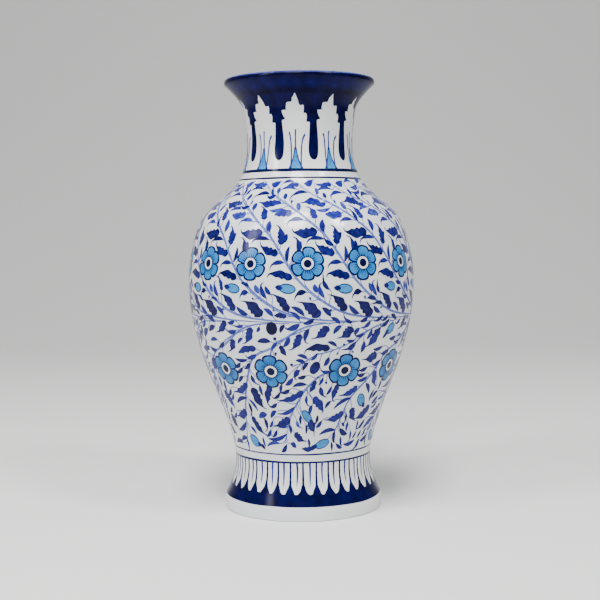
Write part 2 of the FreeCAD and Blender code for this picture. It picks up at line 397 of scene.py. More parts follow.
foot_to_mouth = (round_the_foot() + up_the_wall(outside, FOOT_ROUND, TOP - LIP_HEIGHT - 2, 2.0)
                 + over_the_lip()
                 + up_the_wall(inside, TOP - MOUTH_DEPTH, TOP - LIP_HEIGHT - 2, 2.0)[::-1])
spin_coat("glaze_outside", foot_to_mouth, white_glaze)

down_the_inside = up_the_wall(inside, FLOOR + CORNER, TOP - MOUTH_DEPTH + 0.8, 3.0)[::-1]
corner_radius = down_the_inside[-1][0]
for step in range(1, 7):
    turn = math.radians(15 * step)
    inwards = CORNER_REACH * math.sin(turn) * (1 - 0.2 * math.cos(turn))
    down_the_inside.append((corner_radius - inwards, FLOOR + CORNER * (1 - math.sin(turn))))
down_the_inside += [(radius, FLOOR) for radius in (36.0, 24.0, 12.0, 0.0)]
spin_coat("glaze_inside", down_the_inside, white_glaze, front=GLAZE - 0.05)

# %% [markdown]
# ## The studio
#
# A glossy pot shows its room: every bright patch on it is a lamp or a window. One large soft
# box high in front makes the broad shine on the shoulder, and two windows at the sides give the
# thin lines down the neck. A pale floor and a pale room, brighter overhead than at the sides,
# fill the rest, so that white stays white.

# %% Camera, floor and lights
FAR = 0.985
EYE = 0.236
ASIDE = -0.0012
PITCH_DEGREES, ROLL_DEGREES = 3.66, -0.6
LENS_MM = 70.4
SWEEP, SWEEP_FROM, BACKDROP_TOP = 1.6, 1.2, 5.0
FLOOR_ROUGHNESS = 0.7
camera = put_in_scene("camera", bpy.data.cameras.new("camera"))
camera.data.lens = LENS_MM
camera.data.sensor_width = 36.0
camera.location = (ASIDE, -FAR, EYE)
level_view = Matrix.Rotation(math.radians(90 - PITCH_DEGREES), 3, "X")
roll = Matrix.Rotation(math.radians(ROLL_DEGREES), 3, "Z")
camera.rotation_euler = (level_view @ roll).to_euler()
bpy.context.scene.camera = camera


def plain(name, colour):
    material = new_material(name)
    shader = add_node(material, "ShaderNodeBsdfPrincipled",
                      {"Base Color": linear(colour), "Roughness": FLOOR_ROUGHNESS})
    add_node(material, "ShaderNodeOutputMaterial", {}, {"Surface": shader.outputs["BSDF"]})
    return material


def studio_floor(half, depth):
    """A pale sheet that lies flat and sweeps up behind, with one extruded edge per bend."""
    shape = bmesh.new()
    front = [shape.verts.new((x, -depth, 0)) for x in (-half, half)]
    edge = shape.edges.new(front)
    bends = [(SWEEP_FROM + SWEEP * math.sin(turn), SWEEP * (1 - math.cos(turn)))
             for turn in (math.radians(5 * step) for step in range(18))]
    for y, z in bends + [(SWEEP_FROM + SWEEP, BACKDROP_TOP)]:
        grown = bmesh.ops.extrude_edge_only(shape, edges=[edge])["geom"]
        for vertex in [item for item in grown if isinstance(item, bmesh.types.BMVert)]:
            vertex.co.y, vertex.co.z = y, z
        edge = next(item for item in grown if isinstance(item, bmesh.types.BMEdge)
                    and all(abs(vertex.co.y - y) < 1e-6 for vertex in item.verts))
    floor = put_in_scene("studio_floor",
                         smooth_mesh("studio_floor", shape, plain("pale_floor", "#E0E0DE")))


def soft_box(name, centre, target, width, height, watts):
    data = bpy.data.lights.new(name, "AREA")
    data.shape, data.size, data.size_y, data.energy = "RECTANGLE", width, height, watts
    lamp = put_in_scene(name, data)
    lamp.location = centre
    lamp.rotation_euler = (Vector(target) - Vector(centre)).to_track_quat("-Z", "Y").to_euler()


studio_floor(4.0, 3.0)
MIDDLE = (0, 0, 0.18)
soft_box("key_high_in_front", (-0.14, -1.0, 2.0), (0, 0, 0.22), 0.62, 1.3, 75)
soft_box("window_left", (-1.1, -0.77, 1.12), MIDDLE, 0.26, 1.0, 17)
soft_box("window_right", (1.0, -0.78, 1.6), MIDDLE, 0.26, 0.4, 17)
world = bpy.data.worlds.new("pale_room")
world.use_nodes = True
direction = add_node(world, "ShaderNodeTexCoord").outputs["Generated"]
height = add_node(world, "ShaderNodeSeparateXYZ", {}, {"Vector": direction}).outputs["Z"]
light = world.node_tree.nodes["Background"]
light.inputs["Color"].default_value = linear("#E6EAEC")
brightness = remap(world, height, 0.0, 0.6, 0.17, 0.42)
world.node_tree.links.new(brightness, light.inputs["Strength"])
bpy.context.scene.world = world
print("studio: 1 floor, 3 soft boxes, pale room")

# %% [markdown]
# ## A brush stroke as a mesh
#
# The painter works on a curved wall, but a pattern is easier to think about on a flat sheet.
# So each stroke is drawn on a sheet, in degrees round the vase and millimetres up, and only
# then wrapped on. One stroke is a grid of faces, extruded once so that it is a closed slab,
# and each corner of that grid is moved to its place: along the stroke's middle line, and out
# to its left or right edge. The slab's back lies in the glaze, its face a hair above.

# %% Paint tools
BELLY = 93.5
SHEET = math.radians(1) * BELLY
SUNK = 0.12
ENDS_DARKER = 0.15
LOOK_AHEAD = 0.04
draw = random.Random(7)


def on_vase(across, level, lift):
    """The point `across` degrees right of the front, `level` mm up, `lift` mm off the clay."""
    slope = outside.slope(level)
    steep = math.hypot(1.0, slope)
    reach = (outside.radius(level) + lift / steep) * MM
    turn = math.radians(across)
    return (reach * math.sin(turn), -reach * math.cos(turn), (level - lift * slope / steep) * MM)


class Line:
    """A smooth line through points (degrees, mm), followed by its length on the sheet."""

    def __init__(self, points, fine=6):
        knots = list(enumerate(points))
        across = [(place, point[0] * SHEET) for place, point in knots]
        level = [(place, point[1]) for place, point in knots]
        count = (len(points) - 1) * fine
        self.points = [Vector((smooth(across, i / fine), smooth(level, i / fine)))
                       for i in range(count + 1)]
        self.walked = [0.0]
        for start, end in zip(self.points, self.points[1:]):
            self.walked.append(self.walked[-1] + (end - start).length)
        self.length = self.walked[-1]

    def at(self, share):
        goal = min(max(share, 0.0), 1.0) * self.length
        index = min(max(bisect_left(self.walked, goal) - 1, 0), len(self.walked) - 2)
        span = self.walked[index + 1] - self.walked[index] or 1.0
        return self.points[index].lerp(self.points[index + 1], (goal - self.walked[index]) / span)

    def direction(self, share):
        return (self.at(share + LOOK_AHEAD) - self.at(share - LOOK_AHEAD)).normalized()


stencils = {}


def stencil(rows, columns):
    """A blank slab, made once for each size: a grid of faces, extruded one up."""
    if (rows, columns) not in stencils:
        shape = bmesh.new()
        bmesh.ops.create_grid(shape, x_segments=rows, y_segments=columns, size=1.0)
        grown = bmesh.ops.extrude_face_region(shape, geom=shape.faces[:])["geom"]
        for vertex in [item for item in grown if isinstance(item, bmesh.types.BMVert)]:
            vertex.co.z = 1.0
        stencils[rows, columns] = bpy.data.meshes.new(f"stencil_{rows}_{columns}")
        shape.to_mesh(stencils[rows, columns])
        shape.free()
    return stencils[rows, columns]


class Paint:
    """Strokes of one pigment in one layer, gathered into one mesh."""

    def __init__(self, name, material, lift):
        self.name, self.material, self.lift = name, material, lift
        self.shape = bmesh.new()
        self.ink = self.shape.verts.layers.float.new("ink")

    def patch(self, place, ink, rows, columns):
        """One slab of paint; place(along, across) gives its corners, ink(along) its tone."""
        known = len(self.shape.verts)
        self.shape.from_mesh(stencil(rows, columns))
        self.shape.verts.ensure_lookup_table()
        for vertex in self.shape.verts[known:]:
            along, across = (vertex.co.x + 1) / 2, vertex.co.y
            lift = self.lift if vertex.co.z > 0.5 else -SUNK
            vertex.co = on_vase(*place(along, across), GLAZE + lift)
            vertex[self.ink] = ink(along)

    def stroke(self, line, edge, tone, rows=10, columns=2, other=None):
        """A stroke along a line: edge gives its half-width in mm, other that of its right edge."""

        def place(along, across):
            along = (1 - math.cos(math.pi * along)) / 2
            heading = line.direction(along)
            reach = edge(along) if across > 0 or other is None else other(along)
            point = line.at(along) + Vector((-heading.y, heading.x)) * across * reach
            return point.x / SHEET, point.y

        self.patch(place, lambda along: tone + ENDS_DARKER * abs(2 * along - 1) ** 3, rows, columns)

    def done(self, slot_name="belly_clay"):
        piece = new_piece(self.name, self.shape, self.material)


def profile(knots, width):
    """A half-width in mm as a function of the share along a stroke."""
    return lambda along: smooth(knots, along) * width / 2


def rounded(width):
    """The half-width of an ellipse."""
    return lambda along: math.sqrt(max(1 - (2 * along - 1) ** 2, 0.0004)) * width / 2


print("one degree of the sheet is", round(SHEET, 3), "mm at the belly")

# %% [markdown]
# ## Bands and lines
#
# A banding wheel turns the pot while the brush is held still, so rings are true circles with a
# slight waver from the hand. Each one is a flat strip, spun once round the axis. Its corners
# are then moved to the wall with a little seeded waver that comes back to where it started.

# %% Bands
WAVER = (3, 5, 8, 13)


def waver(size):
    """A smooth random height that repeats once round."""
    parts = [(size / count ** 0.7, count, draw.uniform(0, math.tau)) for count in WAVER]
    return lambda turn: sum(part * math.sin(count * turn + phase) for part, count, phase in parts)


def band(name, low, high, material, tone, lift=0.08, size=0.25):
    """A painted ring between two heights on the outside of the vase."""
    rows = max(1, round((high - low) / 2.2))
    levels = [low + (high - low) * index / rows for index in range(rows + 1)]
    section = [(1, level) for level in levels] + [(2, level) for level in reversed(levels)]
    shape = spin(section, 1)
    ink = shape.verts.layers.float.new("ink")
    lower, upper = waver(size), waver(size)
    for vertex in shape.verts:
        turn = math.atan2(vertex.co.x, -vertex.co.y)
        share = (vertex.co.z - low) / (high - low)
        level = vertex.co.z + lower(turn) * (1 - share) + upper(turn) * share
        depth = lift if math.hypot(vertex.co.x, vertex.co.y) > 1.5 else -SUNK
        vertex.co = on_vase(math.degrees(turn), level, GLAZE + depth)
        vertex[ink] = tone
    new_piece(name, shape, material)


band("foot_cobalt_band", 11.5, 20.8, cobalt_ground, 0.8)
band("foot_line_lower", 45.4, 47.0, cobalt_line, 0.85, size=0.2)
band("foot_line_upper", 52.3, 53.5, cobalt_line, 0.6, size=0.2)
band("shoulder_thin_line", 272.6, 274.0, cobalt_line, 0.95, size=0.2)
band("neck_thick_line", 278.5, 280.9, cobalt_line, 0.95, size=0.2)

# %% [markdown]
# ## Petals on the foot
#
# White petals stand round the foot. The painter leaves them white and fills the gaps: from the
# cobalt band a finger of blue runs up between each two petals, wide at the bottom where the
# petals round off, and thin as a line above. A single short stroke down each petal is its vein.

# %% Foot petals
PETALS = 35
FINGER_DEGREES = ((20.0, 5.3), (21.0, 4.1), (22.5, 3.1), (25.0, 2.0), (28.0, 1.0), (30.5, 0.85),
                  (46.8, 0.7))
FINGER_FROM, FINGER_RISE = 20.0, 26.8
VEIN = ((0.0, 0.9), (0.4, 0.75), (0.8, 0.5), (1.0, 0.15))
fingers = Paint("foot_fingers", cobalt_ground, 0.07)
veins = Paint("foot_veins", cobalt, 0.09)
for index in range(PETALS):
    middle = 360 / PETALS * index + draw.uniform(-0.35, 0.35)
    lean = draw.uniform(-0.5, 0.5)

    def finger(along, across):
        level = FINGER_FROM + FINGER_RISE * along ** 1.7
        half = smooth(FINGER_DEGREES, level) * (1 + 0.08 * math.sin(index * 2.3 + level))
        return middle + lean * along + across * half, level

    fingers.patch(finger, lambda along: 0.8 - 0.25 * along, 14, 4)
    vein = middle + 180 / PETALS + draw.uniform(-0.3, 0.3)
    sway = draw.uniform(-0.7, 0.7)
    low = 27.5 + draw.uniform(-1.2, 1.2)
    line = Line([(vein, 46.6), (vein + sway, 40), (vein + sway * 0.6, 34), (vein, low)])
    veins.stroke(line, profile(VEIN, 3.1), 0.42 + draw.uniform(0, 0.3), 8)
fingers.done("foot_clay")
veins.done("foot_clay")

# %% [markdown]
# ## The lip
#
# The flare is solid cobalt, poured or brushed over the lip and a little way into the mouth. It
# is laid on as a second thin coat, the same way as the glaze.

# %% Lip
LIP_EDGE = 340.3
CROWN_HEIGHT = 1.3


def dip(name, path, material, tone, lift=0.08):
    """A coat of paint that follows a line, with its tone as a function of height in mm."""
    section = offset(path, GLAZE + lift) + offset(path, GLAZE - SUNK)[::-1]
    shape = spin(section)
    ink = shape.verts.layers.float.new("ink")
    for vertex in shape.verts:
        vertex[ink] = tone(vertex.co.z / MM)
    new_piece(name, shape, material)


def flare_tone(level):
    return smooth(((300, 0.7), (342, 0.95), (346, 0.62), (350, 0.66), (353.5, 1.0)), level)


rim = over_the_lip()
crown_from = next(i for i, point in enumerate(rim) if point[1] > TOP - CROWN_HEIGHT)
dip("flare_cobalt", up_the_wall(outside, LIP_EDGE, rim[0][1] - 1.8, 1.8) + rim[:crown_from + 1],
    cobalt_ground, flare_tone)
dip("lip_crown_cobalt", rim[crown_from:], cobalt, lambda level: 0.42, 0.09)
dip("mouth_cobalt", up_the_wall(inside, TOP - 11.0, rim[-1][1], 1.8)[::-1], cobalt_ground,
    lambda level: 0.8)

# %% [markdown]
# ## Drips and leaf points on the neck
#
# Below the flare the cobalt ground is cut into drips with stepped edges, so that the white left
# between them stands up as a pointed leaf. A turquoise shoot grows at the foot of each leaf.

# %% Drips and shoots
SPIRES = 10
SPIRE_AT, DRIP_AT = -2.6, 14.6
DRIP_LEFT = ((19.0, 341), (17.5, 338), (16.2, 335), (15.2, 332), (14.2, 330.9), (11.5, 331.3),
             (10.3, 330), (10.6, 325), (8.2, 324.8), (7.2, 322), (7.6, 318), (4.4, 317.8),
             (4.3, 315), (4.7, 308), (5.2, 302), (5.6, 297), (5.4, 293), (4.3, 290), (2.2, 288.2),
             (0.1, 287.6))
DRIP_RIGHT = ((17.6, 341), (15.8, 338), (14.5, 337), (13.9, 334), (9.3, 333.5), (8.3, 331),
              (7.9, 328.5), (8.9, 327.5), (4.5, 329), (3.5, 327), (4.9, 323), (7, 320.5),
              (3.6, 319.8), (3.4, 317), (4.2, 310), (4.8, 304), (4.9, 299), (4.6, 294),
              (3.7, 290.5), (2, 288.4), (0.1, 287.6))
SHOOT_LEFT = ((-8.2, 280.6), (-6.2, 284), (-4.8, 288), (-3.6, 293), (-2.7, 298))
SHOOT_RIGHT = ((5.4, 280.6), (3.2, 284), (1.2, 288), (-0.3, 293), (-1.5, 298))
EVEN = ((0.0, 1.0), (1.0, 1.0))
drips = Paint("neck_drips", cobalt_ground, 0.07)
shoots = Paint("neck_shoots", turquoise, 0.08)
shoot_lines = Paint("neck_shoot_lines", cobalt_line, 0.1)


def moved(points, across, level=0.0, size=1.0):
    """The same points, shifted round and up, and drawn larger or smaller across."""
    return [(across + size * point[0], level + point[1]) for point in points]


def between(left, right):
    """Corners of a patch that fills from one line to another."""

    def place(along, across):
        point = left.at(along).lerp(right.at(along), (across + 1) / 2)
        return point.x / SHEET, point.y

    return place


for index in range(SPIRES):
    across = 36 * index + draw.uniform(-0.5, 0.5)
    rise = draw.uniform(-1.0, 1.0)
    left = Line(moved(DRIP_LEFT, across + DRIP_AT, size=-1))
    right = Line(moved(DRIP_RIGHT, across + DRIP_AT))
    drips.patch(between(left, right), lambda along: 0.8, 56, 12)
    left, right = (Line(moved(side, across + SPIRE_AT)) for side in (SHOOT_LEFT, SHOOT_RIGHT))
    for side in (left, right):
        shoot_lines.stroke(side, profile(EVEN, 1.6), 0.5, 8)
    shoots.patch(between(left, right), lambda along: 0.35 + 0.3 * along, 8, 4)
    tip = 311 + rise
    for points, width in (
            (((-2.2, 296), (-1.9, 301), (-2.1, 306), (-1.7, tip)), 2.4),
            (((-6.5, 281), (-6.2, 289), (-6.3, 297), (-7.2, 306), (-8.6, tip - 1)), 2.4),
            (((3.7, 281), (3.8, 288), (4.0, 295), (5.5, 304), (8.0, tip - 3)), 2.4)):
        line = Line(moved(points, across + SPIRE_AT))
        shoot_lines.stroke(line, profile(EVEN, width), 0.3, 10)
    knob = Line(moved(((-1.9, tip - 1), (-1.5, tip + 1.2)), across + SPIRE_AT))
    shoot_lines.stroke(knob, rounded(3.0), 0.5, 6)
drips.done("neck_clay")
shoots.done("neck_clay")
shoot_lines.done("neck_clay")

# %% [markdown]
# ## Stems
#
# The pattern starts at a line round the widest part. Stems leave it upwards, thirteen of them,
# each sweeping up to the left until it reaches the neck, and downwards to the foot. A main
# stem is two thin washes side by side that run together where they leave the line. They are
# painted first with a nearly dry brush, which is why they are pale and everything else
# covers them. Stems and leaves were drawn a little too wide, with 30 degrees to a repeat where
# thirteen leave 27.7, so one factor above the line and one below it draws them closer.

# %% Stems
UPPER_COPIES = 13
UPPER_PITCH = 360 / UPPER_COPIES
DRAWN_PITCH = 30.0
UPPER_NARROW = UPPER_PITCH / DRAWN_PITCH
LOWER_NARROW = 0.915
UPPER_FLOWER_AT = 3.0
LOWER_TURNS = (0, 108, 216)
LAST_LOWER_TURN = -108
LAST_STEM = 2
STRAND_GAP, STRAND_WIDTH, STEM_WIDTH = 0.5, 0.85, 1.0
UPPER_STEM = ((70, 161.3), (48, 162.5), (32, 164.5), (22, 167), (15.5, 170.5), (10, 175),
              (4.8, 180), (0.5, 185), (-2.5, 190), (-5.8, 195), (-10.5, 205), (-13.5, 213),
              (-17.3, 221), (-21, 229), (-25.5, 234.5), (-33, 243.5), (-38.5, 248.5),
              (-45.5, 254), (-53, 258.5), (-60, 264), (-67, 269.5))
UPPER_FLOWER_STEM = ((30, 165), (19, 169), (11.5, 174.5), (5.5, 180.5), (1, 186), (-1.5, 191),
                     (-2, 196))
LOWER_STEMS = (
    ((26.3, 161), (11.3, 160.5), (1.3, 157.5), (-6.2, 151.5), (-12.2, 145.5), (-17.2, 141),
     (-22.2, 138.5), (-26.2, 136), (-29.2, 132.5), (-31.7, 128), (-33.2, 123.5), (-35.2, 117.5),
     (-38.2, 109.5), (-41.2, 100), (-44.2, 91.5), (-47.7, 80), (-51.2, 68), (-53.7, 57.5)),
    ((62, 160.3), (50, 158.5), (41, 155), (35, 150), (31, 144), (28, 138), (27, 130),
     (20, 124.5), (16.5, 122.5), (13, 120), (9, 117), (6, 113), (2.5, 108.5), (0, 104),
     (-2.5, 98.5), (-5, 93.5), (-7.5, 88.5), (-9.5, 82), (-11.5, 75), (-13, 69), (-15, 62)),
    ((111.2, 161), (96.2, 160.5), (86.2, 157.5), (78.7, 151.5), (72.7, 145.5), (67.7, 141),
     (62.7, 138.5), (58.7, 136), (55.7, 132.5), (53.2, 128), (50.5, 122), (46.5, 115),
     (41, 108), (35, 100), (32, 92), (30.5, 86), (29, 80), (27.5, 75), (25.5, 70), (24.5, 62)))
LOWER_SIDE_STEMS = (
    ((45, 156.5), (35, 152), (29, 146), (24, 142.5), (19, 140), (15, 138), (8, 136), (3, 132),
     (-1, 129), (-5, 128)),
    ((2, 156), (-13, 147), (-17, 141), (-20, 130)),
    ((87, 156), (72, 147), (68, 141), (65, 130)))
STRAND = ((0.0, 0.7), (0.25, 0.9), (0.7, 1.0), (1.0, 0.5))
stems = {"upper": Paint("upper_stems", cobalt_wash, 0.07),
         "lower": Paint("lower_stems", cobalt_wash, 0.07)}


def turns_of(index):
    """The turns a lower stem is drawn at: the last of each list also starts the spare part."""
    return LOWER_TURNS + (LAST_LOWER_TURN,) if index == LAST_STEM else LOWER_TURNS


def strands(paint, line, rows):
    """Two thin washes side by side that start together."""
    for side in (-1, 1):
        points = []
        for step in range(rows + 1):
            share = step / rows
            heading = line.direction(share)
            apart = STRAND_GAP * min(share * 3, 1.0) * side
            point = line.at(share) + Vector((-heading.y, heading.x)) * apart
            points.append((point.x / SHEET, point.y))
        paint.stroke(Line(points, 2), profile(STRAND, STRAND_WIDTH),
                     0.55 + draw.uniform(-0.12, 0.12), round(line.length / 2.0), 1)


def thin_stem(paint, line):
    paint.stroke(line, profile(STRAND, STEM_WIDTH), 0.6, 24, 1)


upper_lines, lower_lines = [], []
for copy in range(UPPER_COPIES):
    across = UPPER_FLOWER_AT + UPPER_PITCH * copy
    line = Line(moved(UPPER_STEM, across + draw.uniform(-0.6, 0.6), draw.uniform(-0.5, 0.5),
                      UPPER_NARROW))
    upper_lines.append(line)
    strands(stems["upper"], line, 26)
    thin_stem(stems["upper"], Line(moved(UPPER_FLOWER_STEM, across, size=UPPER_NARROW)))
for index, points in enumerate(LOWER_STEMS):
    for turn in turns_of(index):
        line = Line(moved(points, turn + draw.uniform(-0.4, 0.4), size=LOWER_NARROW))
        lower_lines.append(line)
        strands(stems["lower"], line, 24)
for index, points in enumerate(LOWER_SIDE_STEMS):
    for turn in turns_of(index):
        line = Line(moved(points, turn, size=LOWER_NARROW))
        lower_lines.append(line)
        thin_stem(stems["lower"], line)
print(len(upper_lines), "upper stems,", len(lower_lines), "lower stems")

# %% [markdown]
# ## Leaves
#
# A leaf is one press of a round brush: it lands thin at the twig, is pushed flat so that it
# spreads, and is lifted with a flick that leaves a hooked hair at the tip. Longer leaves are
# made with a shake of the hand, which gives the lobes. The blue is darkest where the brush
# lands and lifts. Each leaf is listed by where it starts and ends, and its twig finds its own
# way down to the nearest stem.

# %% Leaf shapes
SLIM = ((0, 0.25), (0.12, 0.6), (0.35, 1), (0.65, 0.9), (0.88, 0.5), (1, 0.16))
LOBED = ((0, 0.3), (0.07, 0.7), (0.19, 1.0), (0.31, 0.76), (0.45, 1.12), (0.6, 0.76),
         (0.73, 0.9), (0.87, 0.48), (1, 0.16))
SMOOTH_SIDE = ((0, 0.3), (0.14, 0.8), (0.34, 0.66), (0.55, 0.92), (0.78, 0.5), (1, 0.14))
COMMA = ((0, 0.1), (0.3, 0.8), (0.5, 1), (0.75, 0.7), (1, 0.05))
HAIR = ((0, 1.0), (0.5, 0.6), (1, 0.2))
TWIG = ((0, 0.7), (0.5, 0.75), (1, 1.0))
WHOLE_SHAPES = {"slim": SLIM, "comma": COMMA}
PRESS = 1.32
SHAKE = 0.35
TOWARDS = {"left": (-1, 0), "right": (1, 0), "up": (0, 1), "down": (0, -1), "": (0, 0)}
BEND = {"slim": 0.2, "lobed": 0.18, "comma": 0.28, "drop": 0.0}
CELLS, LOOK = 98, 4
TWIG_LEAST, TWIG_MOST = 1.2, 22


def bezier(p0, p1, p2, p3, count=8):
    """Points (degrees, mm) on a cubic curve whose four corners are on the sheet."""
    points = []
    for index in range(count + 1):
        t = index / count
        u = 1 - t
        point = p0 * u ** 3 + p1 * 3 * u * u * t + p2 * 3 * u * t * t + p3 * t ** 3
        points.append((point.x / SHEET, point.y))
    return points


def nearest(lines, point):
    """The line that passes closest to a point, the share along it, and how far off it is."""
    best = (1e9, None, 0.0)
    for line in lines:
        if abs(line.points[0].x - point.x) > 400:
            continue
        for index in range(0, len(line.points), 2):
            away = (line.points[index] - point).length
            if away < best[0]:
                best = (away, line, line.walked[index] / line.length)
    return best[1], best[2], best[0]


def around(lines):
    """The same lines once round to the left and to the right, so that none ends at the back."""
    copies = []
    for line in lines:
        for turn in (-360, 0, 360):
            copy = Line.__new__(Line)
            copy.points = [point + Vector((turn * SHEET, 0)) for point in line.points]
            copy.walked, copy.length = line.walked, line.length
            copies.append(copy)
    return copies


class Crowd:
    """Remembers where paint already lies on the sheet, so that gaps can be found."""

    def __init__(self):
        self.size, self.marks = 360 * SHEET / CELLS, {}

    def cell(self, point):
        return int(point.x // self.size) % CELLS, int(point.y // self.size)

    def add(self, point, reach):
        self.marks.setdefault(self.cell(point), []).append((point.copy(), reach))

    def room(self, point):
        """How far the point is from the nearest paint, up to a few cells."""
        x, y = self.cell(point)
        turn = 360 * SHEET
        nearest_paint = self.size * LOOK
        for column in range(x - LOOK, x + LOOK + 1):
            for row in range(y - LOOK, y + LOOK + 1):
                for mark, reach in self.marks.get((column % CELLS, row), ()):
                    aside = (point.x - mark.x + turn / 2) % turn - turn / 2
                    away = math.hypot(aside, point.y - mark.y) - reach
                    nearest_paint = min(nearest_paint, away)
        return nearest_paint


crowd = Crowd()
UPPER_LEVEL, LOWER_LEVEL = 206.5, 122.6
UPPER_SIZE, LOWER_SIZE = 0.84, 0.9
upper_turns = [UPPER_FLOWER_AT + UPPER_PITCH * copy for copy in range(UPPER_COPIES)]
lower_flowers = [turn + across for turn in LOWER_TURNS for across in (-48.3, -17.5, 24.0)]
lower_flowers.append(276.6)
for across in upper_turns:
    crowd.add(Vector((across * SHEET, UPPER_LEVEL)), 13.5)
for across in lower_flowers:
    crowd.add(Vector((across * SHEET, LOWER_LEVEL)), 14.0)


def leaf(paint, twigs, lines, kind, start, end, width, hook, tone):
    """One leaf on the sheet from start to end (mm), its hooked hair, and its twig."""
    heading = end - start
    length = heading.length
    heading.normalize()
    side = Vector((-heading.y, heading.x))
    flick = Vector(TOWARDS[hook])
    turn = math.copysign(1, flick.dot(side)) if hook else draw.choice((-1, 1))
    middle = (start + end) / 2 - side * turn * BEND[kind] * length
    line = Line(bezier(start, start.lerp(middle, 0.66), end.lerp(middle, 0.66), end))
    width *= PRESS * draw.uniform(0.95, 1.1)
    for step in range(7):
        crowd.add(line.at(step / 6), width * 0.4)
    if kind == "lobed":
        edge, other = profile(LOBED, width * 1.05), profile(SMOOTH_SIDE, width)
        if turn < 0:
            edge, other = other, edge
        paint.stroke(line, edge, tone * 0.92, 20, other=other)
    else:
        edge = rounded(width) if kind == "drop" else profile(WHOLE_SHAPES[kind], width)
        paint.stroke(line, edge, tone * 0.92, 9)
    if hook:
        reach = min(0.32 * length + 0.9, 3.9)
        ahead = (end - middle).normalized()
        tip = end + ahead * reach * 0.5 + flick * reach * 0.75
        line = Line(bezier(end - ahead * 0.8, end + ahead * 0.3 * reach,
                           tip - flick * 0.4 * reach, tip, 5))
        paint.stroke(line, profile(HAIR, 1.6), tone * 0.85, 5, 1)
    stem, share, away = nearest(lines, start)
    if TWIG_LEAST < away < TWIG_MOST:
        back = share - (0.6 * away + 2.5) / stem.length
        joint, along = stem.at(back), stem.direction(back)
        pull = (joint - start).length * 0.42
        ahead = (middle - start).normalized()
        line = Line(bezier(start + ahead * 0.6, start - ahead * pull, joint + along * pull,
                           joint, 6))
        twigs.stroke(line, profile(TWIG, 0.9), 0.62, 9, 1)


print(len(BEND), "kinds of leaf;", len(upper_turns) + len(lower_flowers), "places for flowers")

# %% [markdown]
# ## The leaves above the line
#
# The upper pattern repeats thirteen times, once for each flower. The list is drawn once,
# round one flower, in degrees to the side of it and millimetres above the ground. A painter
# never lands twice on the same spot, so each copy is shaken a little by a seeded random draw.

# %% Upper leaves
UPPER_LEAVES = (
    ("lobed", 5.2, 231, -7.3, 230, 6.2, "up", 0.95),
    ("slim", 9.5, 225.2, 1, 224.5, 2.4, "down", 0.9),
    ("slim", -4.8, 215, -5.5, 225, 3.2, "left", 0.9),
    ("slim", -4, 216, -3, 223.5, 3, "", 0.9),
    ("lobed", -14, 221, -14.3, 234, 5, "left", 0.9),
    ("slim", -14, 222.5, -10.5, 229.5, 3.5, "", 0.9),
    ("slim", -10.3, 208, -9.3, 219.5, 2.4, "", 0.85),
    ("lobed", -15.3, 214.2, -24.5, 219.5, 5.2, "up", 0.9),
    ("slim", -12.3, 207.2, -18.6, 206.5, 2.7, "down", 0.85),
    ("lobed", -8, 195, -19.3, 199, 5, "down", 1),
    ("comma", -1.2, 185, -5.8, 182.5, 3.4, "down", 1),
    ("drop", 1.2, 179.0, 1.2, 180.9, 1.4, "", 0.9),
    ("lobed", 5.6, 165.8, -2.7, 177, 7, "left", 1),
    ("lobed", -10.2, 170, -17, 182, 5.5, "left", 1),
    ("slim", -2.3, 167.2, -8.3, 174, 3, "", 0.8),
    ("slim", 11.7, 166.7, 6.7, 172.5, 3, "", 0.8),
    ("drop", 11.6, 170.2, 12.2, 171.9, 1.4, "", 0.8),
    ("slim", 8.7, 181, 6, 190.5, 2.8, "right", 0.7),
    ("slim", 4.8, 184.5, 3, 190.5, 3, "", 0.55),
    ("comma", 9.8, 230.5, 9.2, 240, 3.8, "", 0.75),
    ("slim", -2.3, 239.5, -9.8, 238.8, 2.3, "down", 0.6),
    ("lobed", 5.2, 240, 2.5, 248.5, 5, "left", 0.65),
    ("slim", 15.5, 249, 6.7, 247.7, 2, "", 0.6),
    ("drop", -4, 247.5, -4.8, 253, 3.5, "", 0.5),
    ("lobed", -8.3, 244.8, -19, 244, 4.6, "", 0.6),
    ("lobed", 10, 253.4, -0.3, 253.4, 4.8, "left", 0.8),
    ("slim", -16.3, 252.4, -22.8, 251.6, 2.8, "", 0.6),
    ("drop", -9.3, 252.6, -9.3, 255.4, 2, "", 0.6),
    ("comma", -14.5, 256, -16, 260.5, 4, "", 0.85),
    ("slim", 1.7, 260.3, -9.8, 258.5, 2.2, "down", 0.85),
    ("slim", -6.3, 263.5, -19.8, 263, 1.8, "", 0.7),
    ("lobed", -5, 267, -16, 265.5, 3, "", 0.6),
    ("slim", -9, 269.8, -19.5, 268.8, 2, "", 0.6),
    ("comma", 8.7, 260, 10, 265, 4, "", 0.6),
    ("comma", 9, 271, -0.3, 269, 4, "", 0.6))


def shaken(across, level):
    """A place on the sheet in mm, off by what a hand is off."""
    return Vector((across * SHEET + draw.gauss(0, SHAKE), level + draw.gauss(0, SHAKE)))


def paint_leaves(name, leaves, lines, turns, narrow):
    """Every leaf of a list at each turn, with its hair and twig."""
    paint = Paint(name + "_leaves", cobalt, 0.12)
    twigs = Paint(name + "_twigs", cobalt_wash, 0.09)
    ready = around(lines)
    for turn in turns:
        for kind, x0, z0, x1, z1, width, hook, tone in leaves:
            leaf(paint, twigs, ready, kind, shaken(x0 * narrow + turn, z0),
                 shaken(x1 * narrow + turn, z1), width, hook, tone + draw.uniform(-0.2, 0.1))
    paint.done()
    twigs.done()


paint_leaves("upper", UPPER_LEAVES, upper_lines, upper_turns, UPPER_NARROW)

# %% [markdown]
# ## The leaves below the line
#
# Below the line the painter had a wider gap to fill at the top than at the foot, and filled
# it more freely. Ten flowers stand round the vase there, in groups of three and one over. The
# pattern is drawn over one group, in degrees from the front, and a part of it fills the rest.

